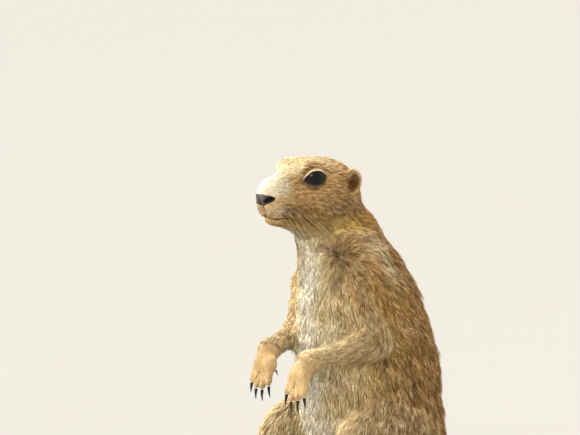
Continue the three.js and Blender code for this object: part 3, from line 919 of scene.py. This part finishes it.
def grow(roots):
    """Where each tuft's base, bend and tip are, with its width and its own way."""
    points, normal, flow = roots["points"], roots["normals"], roots["flow"]
    count = len(points)
    across = np.cross(normal, flow)
    swing = SWING_WIDE * ripple(points, 9, 5) + SWING_NARROW * ripple(points, 3.2, 6)
    swing += SWING_OWN * random.normal(size=count)
    flow = unit(flow + across * swing[:, None])
    length = roots["length"] * random.uniform(0.7, 1.2, count)
    lift = TUFT_LIFT * random.uniform(0.55, 1.25, count)
    lift *= 1 + 0.25 * ripple(points, 12, 8)
    lift *= 1 + 0.6 * spot(body_sees(points), *NAPE)
    ends = [points - normal * TUFT_SINK * MM]
    # The outer half of a tuft bends down along the skin
    for rise in (lift, lift * 0.25):
        way = flow * np.cos(rise)[:, None] + normal * np.sin(rise)[:, None]
        ends.append(ends[-1] + way * (length * MM * 0.5)[:, None])
    roots["flow"] = flow
    roots["width"] = (0.24 + 0.022 * roots["length"]) * random.uniform(0.75, 1.25, count) * MM
    return ends


# How much of the way along the coat is left out when a tuft looks for its leader
PATCH_STRETCH = 0.68


def leaders(points, flow, size):
    """For each tuft a near one that leads it, about size tufts to each, in patches along the coat."""
    count = len(points)
    way = unit(flow.mean(0))
    points = points - (points @ way)[:, None] * way * PATCH_STRETCH
    heads = random.choice(count, max(count // size, 1), replace=False)
    tree = KDTree(len(heads))
    for k, h in enumerate(heads):
        tree.insert(points[h], k)
    tree.balance()
    return heads[np.array([tree.find(p)[1] for p in points.tolist()])]


def clumped(ends, leader):
    """Draws the tips of neighbours together, as hair does in locks."""
    base, bend, tip = ends
    pull = random.uniform(0.25, 0.7, len(base))[:, None]
    ahead_of = tip[leader] - base[leader]
    shared = base * 0.45 + base[leader] * 0.55 + ahead_of
    tip = tip + (shared - tip) * pull
    bend = bend + (base[leader] - base) * 0.18 * pull
    return base, bend, tip


def unwrap(points, lying):
    """A flat map of the skin: the turn round the part's own axis, and the place along it."""
    off = points - points.mean(0)
    over, run = (2, 0) if lying else (0, 2)
    turn, along = np.arctan2(off[:, 1], off[:, over]), off[:, run]
    span = max(np.ptp(along), 1e-6)
    return np.stack([turn / (2 * math.pi) + 0.5, (along - along.min()) / span], 1)


# The size of a tuft's patch on the flat map
PATCH = 0.003


def coat_piece(name, roots, ends, colours, long, flat, slot_name):
    """One mesh of tufts with its colours and its flat map."""
    corners, triangles, rises = tuft_bodies(roots, ends, long)
    count, each = corners.shape[:2]
    corners[..., 2] = np.maximum(corners[..., 2], 0.15 * MM)
    low, high = colours
    shown = mix(low[:, None], high[:, None], np.repeat(rises[None], count, 0)).reshape(-1, 3)
    body = corners.reshape(-1, 3), triangles
    piece = add_piece(name, body, shown, FUR[slot_name], slot_name)
    turn = np.resize(THIRDS, each)
    patch = np.stack([np.cos(turn) * (1 - rises), rises * 2 - 1], 1) * PATCH / 2
    places = (flat[:, None] + patch[None]).reshape(-1, 2)
    layer = piece.data.uv_layers.new(name="OFBake")
    layer.uv.foreach_set("vector", places[triangles.ravel()].astype(np.float32).ravel())


def take(roots, chosen):
    """Some of the roots."""
    out = {}
    for key, values in roots.items():
        out[key] = take(values, chosen) if isinstance(values, dict) else values[chosen]
    return out


ROOT_TONE, TIP_TONE = 0.62, 1.18


def tuft_colours(roots, leader):
    """Each tuft's colour at its root and at its tip."""
    made, dark, pale = markings(roots["points"], roots["on"])
    count = len(made)
    draw = random.random(count)
    draw = np.where(random.random(count) < 0.6, draw[leader], draw)
    tone = random.uniform(0.5, 1.5, count)
    tone = tone[leader] * 0.7 + tone * 0.3
    face_share = roots["on"]["head"]
    dark_hair = darker(made)
    pale_hair = mix(made, FLECK, 0.3 + 0.2 * face_share)
    # On the crown the pale and dark hairs gather in fine wavy lines
    spots = head_sees(roots["points"])
    line = 0.32 + 0.4 * step(3, 9, spots[:, 2])
    line = line * face_share * ripple(spots * [0.35, 1, 1] * MM, 1.6, 12)
    black = roots["on"]["tip"] > 0.5
    is_dark = draw < dark + line
    is_pale = (draw > 1 - pale + line) & ~black
    made = np.where(is_dark[:, None], dark_hair, made)
    made = np.where(is_pale[:, None], pale_hair, made)
    made = made * (tone * roots["shade"])[:, None]
    made = mix(made, made * 0.25, black)
    return made * ROOT_TONE, np.clip(made * TIP_TONE, 0, 0.95)


def dress(base_name, roots, slot_name, lying, clump):
    """Grows the tufts on some roots, in as many pieces as their number needs."""
    long = np.median(roots["length"]) > TUFT_SHORT
    ends = grow(roots)
    leader = leaders(roots["points"], roots["flow"], clump or 4)
    if clump:
        ends = clumped(ends, leader)
    flat = unwrap(roots["points"], lying)
    colours = tuft_colours(roots, leader)
    faces_each = 10 if long else 4
    pieces = math.ceil(len(flat) * faces_each / PIECE_LIMIT)
    order = np.argsort(flat[:, 0], kind="stable")
    for k, chosen in enumerate(np.array_split(order, pieces)):
        name = f"{base_name}_{k + 1}" if pieces > 1 else base_name
        coat_piece(
            name, take(roots, chosen), [e[chosen] for e in ends],
            [c[chosen] for c in colours], long, flat[chosen], slot_name,
        )


SLOTS = {"head": "coat_head", "forepaw": "coat_feet", "hindfoot": "coat_feet",
         "tail_tip": "coat_tail_tip"}
LYING = ("head", "hindfoot", "tail", "tail_tip", "forepaw")
LOCK_SIZE = 5
NO_LOCKS = ("head", "forepaw", "hindfoot")

# Between the fingers and toes the hair is in shadow
hollow = ((blended(skin_points, 14) - skin_points) * skin_normals).sum(1) / MM
toe_gap = np.maximum(toe_gap, step(0.02, 0.3, hollow) * on["feet"])

skin_roots = scatter({
    "points": skin_points, "triangles": skin_triangles, "normals": skin_normals,
    "flow": skin_flow, "length": hair_length, "density": hair_density,
    "shade": (1 - 0.35 * parted) * (1 - 0.6 * toe_gap), "on": on,
})
root_names = np.array(flesh)[skin_owner[skin_roots["corner"]]]
root_names = np.where(np.char.startswith(root_names, "eye_"), "head", root_names)
for name in sorted(set(root_names)):
    kind = kind_of(name)
    some = take(skin_roots, np.flatnonzero(root_names == name))
    lock = 0 if kind in NO_LOCKS else LOCK_SIZE
    dress(f"coat_{name}", some, SLOTS.get(kind, "coat_body"), kind in LYING, lock)


# Eyes

def head_weight(count):
    """What markings needs to know of points that are all on the head."""
    return {key: np.full(count, float(key == "head")) for key in on}


def dress_face(name, body, flow, length, density, shade):
    """Short hair on a lid or an ear."""
    points, triangles = body
    dress(name, scatter({
        "points": points, "triangles": triangles, "normals": normals_of(points, triangles),
        "flow": flow, "length": length, "density": density, "shade": shade,
        "on": head_weight(len(points)),
    }), "coat_head", True, 0)


# The colours of the pupil, the iris and the rest, as light, and the cornea's rise in mm
PUPIL, IRIS, EYE_REST = np.array([[4, 4, 5], [12, 8, 6], [5, 4, 4]]) / 1000
CORNEA_RISE = 0.3


def eyeball(side):
    """A ball with a slightly swollen cornea, a black pupil and a dark brown iris."""
    centre, aim, front, top = eye_frame(side)
    tilt = np.radians(np.linspace(2, 178, 45))
    swell = EYE_BALL + CORNEA_RISE * bell(np.degrees(tilt), 34)
    _, ring = circle(front, top, 48)
    ways = aim * np.cos(tilt)[:, None, None] + ring * np.sin(tilt)[:, None, None]
    body = capped(head_place(centre + ways * swell[:, None, None]), head_place(centre))
    angle = np.degrees(np.arccos(np.clip(unit(head_sees(body[0]) - centre) @ aim, -1, 1)))
    shown = layered(PUPIL, (IRIS, step(26, 31, angle)), (EYE_REST, step(40, 50, angle)))
    add_piece(f"eyeball_{SIDES[side]}", body, shown, EYE_GLOSS, "eye", f"eye_{SIDES[side]}")


# Rows of a lid from the eye's surface outwards: degrees past the opening, mm off the ball
LID_ROWS = ((-2, -0.5), (-1.6, 0.08), (-0.4, 0.34), (2, 0.55), (5, 0.8), (10, 0.9), (16, 0.7),
            (24, 0.1), (34, -1.0), (34, -1.8), (16, -1.4), (-2, -1.2))
# The dark colour of the lid's edge, also painted as shade over the lower lid
LID_EDGE_AND_SHADE = colour(28, 20, 16)
# How much of the coat's colour the rows at the lid's dark edge have
LID_COLOURS = {0: 0, 1: 0, 2: 0, 3: 0.35}


def lids(side):
    """The almond rim of skin round an eyeball, and the short hair on it."""
    centre, aim, front, top = eye_frame(side)
    turn, ring = circle(front, top, 96)
    opening = lid_angle(turn)
    rows = []
    for past, off in LID_ROWS:
        angle = opening + math.radians(past)
        ways = aim * np.cos(angle)[:, None] + ring * np.sin(angle)[:, None]
        rows.append(head_place(centre + ways * (EYE_BALL + off)))
    points = np.array(rows).reshape(-1, 3)
    triangles = halved(ring_faces(len(rows), len(turn), True))
    triangles = facing_out(points - head_place(centre), triangles)
    row_of = np.repeat(np.arange(len(rows)), len(turn))
    furred = np.array([LID_COLOURS.get(k, 1.0) for k in range(len(rows))])[row_of]
    upper = np.tile(step(-0.1, 0.5, np.sin(turn)), len(rows))
    # The lid's skin has the coat's colour darkened to 0.4, painted shade; over the lower lid the dark
    # edge colour spreads as painted shade where the lid faces the light
    fur = layered(
        markings(points, head_weight(len(points)))[0] * 0.4,
        (EYE_RING, upper * (row_of == 4)),
        (LID_EDGE_AND_SHADE, 0.8 * (1 - upper) * (row_of < 6)),
    )
    add_piece(f"lids_{SIDES[side]}", (points, triangles), mix(LID_EDGE_AND_SHADE, fur, furred), LID_SKIN,
              "coat_head")
    # Hair from the lid's edge outwards, swept back, painted darker as shade, more on the lower lid
    flow = head_way(np.tile(ring, (len(rows), 1))) * 0.8 + head_way(np.array([1.0, 0, -0.1]))
    dress_face(
        f"coat_lids_{SIDES[side]}", (points, triangles), flow,
        length=np.where(row_of >= 5, 1.5, 0.8),
        density=np.where((row_of >= 4 + upper) & (row_of <= 8), 9.0, 0.0),
        shade=0.7 + 0.15 * upper,
    )


# Ears

# Rows of an ear from its hidden outer foot over the rim into the hollow: scale, mm along its aim
EAR_ROWS = ((0.82, -6.0), (0.92, -3.5), (0.99, -1.4), (1.03, 0.2), (1.02, 1.1), (0.95, 1.5),
            (0.86, 1.0), (0.77, 0.1), (0.66, -1.0), (0.5, -2.0), (0.32, -2.7), (0.12, -3.0))
EAR_RIM_ROW = 5
# The dark of the ear's hollow is painted shade
EAR_HOLLOW_SHADE = colour(104, 74, 44)
EAR_RIM = colour(222, 196, 152)


def ear(side):
    """A low round cup that opens forwards, higher at its back edge."""
    centre, aim, up, back = ear_frame(side)
    turn, oval = circle(back * EAR_HALF[0], up * EAR_HALF[1], 64)
    rise = 0.6 + 1.3 * np.cos(turn - 0.5)
    rows = []
    for scale, along in EAR_ROWS:
        lifted = rise * step(-6, 0, np.array(along))
        rows.append(centre + oval * scale + aim * (along + lifted)[:, None])
    body = capped(head_place(np.array(rows)), head_place(centre))
    row_of = np.append(np.repeat(np.arange(len(rows)), len(turn)), [0, len(rows) - 1])
    # The cup's skin has the coat's colour darkened to 0.6, painted shade, and painted shade fills the
    # hollow
    shown = layered(
        markings(body[0], head_weight(len(row_of)))[0] * 0.6,
        (EAR_RIM, 0.8 * bell(row_of - EAR_RIM_ROW, 0.9)),
        (EAR_HOLLOW_SHADE, step(6.5, 9, row_of)),
    )
    add_piece(f"ear_cup_{SIDES[side]}", body, shown, LID_SKIN, "coat_head", f"ear_{SIDES[side]}")
    flow = np.where(row_of[:, None] < EAR_RIM_ROW, head_way(aim * 0.9 + [0.5, 0, -0.2]),
                    head_way(back * 0.7 + aim * 0.4))
    # Longer hair reaches from the front edge over the hollow
    fore = np.append(np.tile(step(0.1, -0.7, np.cos(turn)), len(rows)), [0, 0]) * (row_of < 7)
    flow = mix(flow, head_way(back + aim * 0.3 - up * 0.25)[None], fore)
    density = np.where(row_of < 7, 7.0, 4.5)
    dress_face(
        f"coat_ear_{SIDES[side]}", body, flow,
        length=np.where(row_of < 7, 1.6, 2.4) + 1.8 * fore,
        density=np.where((row_of < 1) | (row_of > 9), 0.0, density),
        # Painted shade on the hair in the hollow, and a little painted light on the rest
        shade=np.where(row_of > 7, 0.6, 1.05),
    )


for side in SIDES:
    eyeball(side)
    lids(side)
    ear(side)


# Nose, mouth line and whiskers

NOSE_DARK = colour(30, 25, 23)
NOSE_PINK = colour(96, 74, 64)
# The near-black in the nostrils is painted shade inside the openings
NOSTRIL_SHADOW = colour(8, 6, 6)
# The inner face's place, as a share of the way to the core; then in mm how high the dome is, how
# far its edge drops, and how deep the nostrils and the groove are
NOSE_DEEP = 0.3
DOME_RISE, DOME_EDGE, NOSTRIL_DEEP, GROOVE_DEEP = 0.75, 2.4, 1.7, 0.6


def on_skin(place, way):
    """Where a ray from outside meets the skin, in head millimetres."""
    start = head_place(place + way * 30)
    hit = face_tree.ray_cast(Vector(start), Vector(-head_way(way)))[0]
    return head_sees(np.array(hit))


def nose_pad():
    """The bare nose: a low dome with two comma-shaped nostrils and a groove between them."""
    rises, turns = np.meshgrid(np.linspace(-28, 22, 51), np.linspace(-66, 66, 89), indexing="ij")
    tall, wide = turns.shape
    turn, rise = turns.ravel(), rises.ravel()
    level = np.cos(np.radians(rise))
    ways = np.stack([-np.cos(np.radians(turn)) * level, np.sin(np.radians(turn)) * level,
                     np.sin(np.radians(rise))], 1)
    turn = np.abs(turn)
    bow = -6 + 13 * step(16, 50, turn)
    pit = np.exp(-(np.abs(rise - bow) / (2.6 + 0.07 * turn)) ** 2 - ((turn - 35) / 15) ** 4)
    groove = bell(turn, 4.5) * step(8, -4, rise)
    height = DOME_RISE - DOME_EDGE * step(0.8, 1.2, nose_outline(turn, rise))
    height -= NOSTRIL_DEEP * pit + GROOVE_DEEP * groove
    front = np.array([on_skin(NOSE_CORE, way) for way in ways]) + ways * height[:, None]
    front = head_place(front)
    inner = front + (head_place(NOSE_CORE) - front) * NOSE_DEEP
    count = tall * wide
    quads = ring_faces(tall, wide, False)
    quads = quads[quads[:, 0] % wide < wide - 1]
    grid = np.arange(count).reshape(tall, wide)
    edge = np.concatenate([grid[0], grid[1:, -1], grid[-1, -2::-1], grid[-2:0:-1, 0]])
    after = np.roll(edge, -1)
    rim = np.stack([after, edge, edge + count, after + count], 1)
    points = np.concatenate([front, inner])
    triangles = halved(np.concatenate([quads, quads[:, ::-1] + count, rim]))
    triangles = facing_out(points - head_place(NOSE_CORE), triangles)
    # The nose's own dark and pinkish skin, with painted shade in the nostrils
    tones = layered(NOSE_DARK, (NOSE_PINK, 0.4 * bell(turn, 9)),
                    (NOSTRIL_SHADOW, np.minimum(pit * 1.6, 1)))
    add_piece("nose", (points, triangles), np.concatenate([tones, tones]), NOSE_SKIN, "nose")


LIP_HALF = 0.26
# The lips' dark skin, with painted shade in the parting
LIP_BROWN_AND_SHADE = colour(74, 50, 34)


def lip_line():
    """The dark parting of the lips and the cleft above it, laid along the skin: the lips' dark skin
    with painted shade in the parting.
    """
    runs = [[(x, y * side, z) for x, y, z in MOUTH_LINE] for side in SIDES] + [PHILTRUM_LINE]
    count = 26
    bodies = []
    for run in runs:
        run = np.array(run, float)
        place = np.linspace(0, len(run) - 1, count)
        path = np.stack([np.interp(place, np.arange(len(run)), run[:, k]) for k in range(3)], 1)
        links = np.stack([np.arange(count - 1), np.arange(1, count)], 1)
        laid = []
        for p in smoothed(path, links, 0.5, 8):
            found, normal, _, _ = face_tree.find_nearest(Vector(head_place(p)))
            laid.append(np.array(found) + np.array(normal) * 0.12 * MM)
        bodies.append(tube(laid, LIP_HALF * MM * np.sin(np.linspace(0.25, 2.85, count)) ** 0.6, 8))
    add_piece("lip_line", bundle(bodies), LIP_BROWN_AND_SHADE, LID_SKIN, "nose")


# How much the whiskers of each side hang down, along each hair and from row to row
DROOP = {1: 0.15, -1: 0.75}
FALL = {1: 0.08, -1: 0.24}
WHISKER_BLACK = colour(26, 20, 17)


def whisker(root, out, reach, side):
    """One hair: it leaves the skin outwards, and bends back and down to a fine tip."""
    flip = np.array([1, side, 1])
    out = unit(out * flip)
    found = face_tree.find_nearest(Vector(head_place(root * flip)))[0]
    start = head_sees(np.array(found)[None])[0] - out * 0.6
    share = np.linspace(0, 1, 9)[:, None]
    path = start + out * share * reach + np.array([0.4, 0, -DROOP[side]]) * share ** 2 * reach
    radii = (0.07 + 0.0036 * reach) * MM * (1 - 0.8 * share[:, 0])
    return tube(head_place(path), radii, 5)


def whiskers():
    """Stiff black hairs from the pads beside the nose, with a few over the eyes."""
    bodies = []
    for side in SIDES:
        for row in range(4):
            for k in range(4):
                root = np.array([-18.5 + 2.8 * k + 0.6 * row, 7.4 + 0.9 * k, -14.6 - 1.9 * row])
                root = root + random.normal(size=3) * 0.25
                out = np.array([0.25 * k, 1.0, -0.05 - FALL[side] * row]) + random.normal(size=3) * 0.12
                reach = (14 + 5 * k) * random.uniform(0.75, 1.15)
                bodies.append(whisker(root, out, reach, side))
        for k in range(3):
            root = np.array([-8.0 + 2.2 * k, 14.5, 6.2])
            bodies.append(whisker(root, np.array([0.8, 0.7, 0.45]), 7 + 1.5 * k, side))
    add_piece("whiskers", bundle(bodies), WHISKER_BLACK, WHISKER_HORN, "whisker")


nose_pad()
lip_line()
whiskers()


# Claws keep the CAD's shape, made round

for name, node in nodes.items():
    if name.startswith("claw_"):
        weld = node.modifiers.new("weld", "WELD")
        weld.merge_threshold = 0.01 * MM
        soft = node.modifiers.new("round", "SUBSURF")
        soft.levels = soft.render_levels = 2
        node.data.materials.clear()
        node.data.materials.append(CLAW_HORN)


# Floor, lights and camera

# The photo's camera: its angles, metres on the animal for one pixel, and its distance
AZIMUTH, ELEVATION = math.radians(-38), math.radians(6)
PIXEL = 1 / 1.75 * MM
DISTANCE = 1.84
LAMP_DISTANCE = 5.5
up = np.array([0, 0, 1])
back_way = np.array([math.sin(AZIMUTH) * math.cos(ELEVATION),
                     -math.cos(AZIMUTH) * math.cos(ELEVATION), math.sin(ELEVATION)])
right_way = np.array([math.cos(AZIMUTH), math.sin(AZIMUTH), 0])
up_way = np.cross(back_way, right_way)
between_eyes = ORIGIN + np.array([0, 0, HEAD_IN_BODY[2]]) * MM
aim_point = between_eyes - right_way * 14 * PIXEL - up_way * 40.5 * PIXEL


def turned_to_aim(name, data, way, distance):
    """A camera or lamp at its distance from the aim, in the way given, turned to the aim."""
    made = new_object(name, data)
    made.location = aim_point + way * distance
    made.rotation_mode = "QUATERNION"
    made.rotation_quaternion = Vector(-way).to_track_quat("-Z", "Y")
    return made


camera = turned_to_aim("camera", bpy.data.cameras.new("camera"), back_way, DISTANCE)
camera.data.lens = 200
camera.data.sensor_width = 36
camera.data.clip_start = 0.05
camera.data.clip_end = 60
bpy.context.scene.camera = camera

# Each lamp's size (degrees for a sun, metres for a panel), its way from the aim, strength and tint
LAMPS = {
    "key": ("SUN", 16, -right_way * 0.4 + up * 1.0 - back_way * 0.3, 6.4, (1, 0.96, 0.87)),
    "rim": ("SUN", 16, right_way * 0.7 + up * 0.8 - back_way * 0.8, 2.6, (1, 0.96, 0.87)),
    "edge": ("SUN", 16, -right_way + up * 0.15 - back_way * 0.2, 4.0, (1, 0.97, 0.9)),
    "fill": ("AREA", 6, right_way * 0.5 + up * 0.2 + back_way, 238, (1, 0.94, 0.84)),
    "spark": ("AREA", 2, back_way - right_way * 0.5 + up * 0.75, 75, (1, 1, 1)),
}
for name, (kind, size, way, strength, tint) in LAMPS.items():
    light = bpy.data.lights.new(name, kind)
    light.energy = strength
    light.color = tint
    if kind == "SUN":
        light.angle = math.radians(size)
    else:
        light.size = size
    lamp = turned_to_aim(name, light, unit(way), LAMP_DISTANCE)
    lamp.visible_glossy = name != "fill"

world = bpy.data.worlds.new("studio")
world.use_nodes = True
set_inputs(world.node_tree.nodes["Background"], {"Color": (1, 0.95, 0.87, 1), "Strength": 0.75})
bpy.context.scene.world = world
bpy.context.scene.view_settings.view_transform = "Standard"

FLOOR_HALF = 60.0
floor_points = FLOOR_HALF * np.array([[-1, -1, 0], [1, -1, 0], [1, 1, 0], [-1, 1, 0]])
floor = new_object("floor", new_mesh("floor", floor_points, np.array([[0, 1, 2, 3]])))
floor_look = bpy.data.materials.new("floor_paper")
floor_look.use_nodes = True
set_inputs(floor_look.node_tree.nodes["Principled BSDF"],
           {"Base Color": (0.23, 0.226, 0.222, 1), "Roughness": 0.9})
floor.data.materials.append(floor_look)
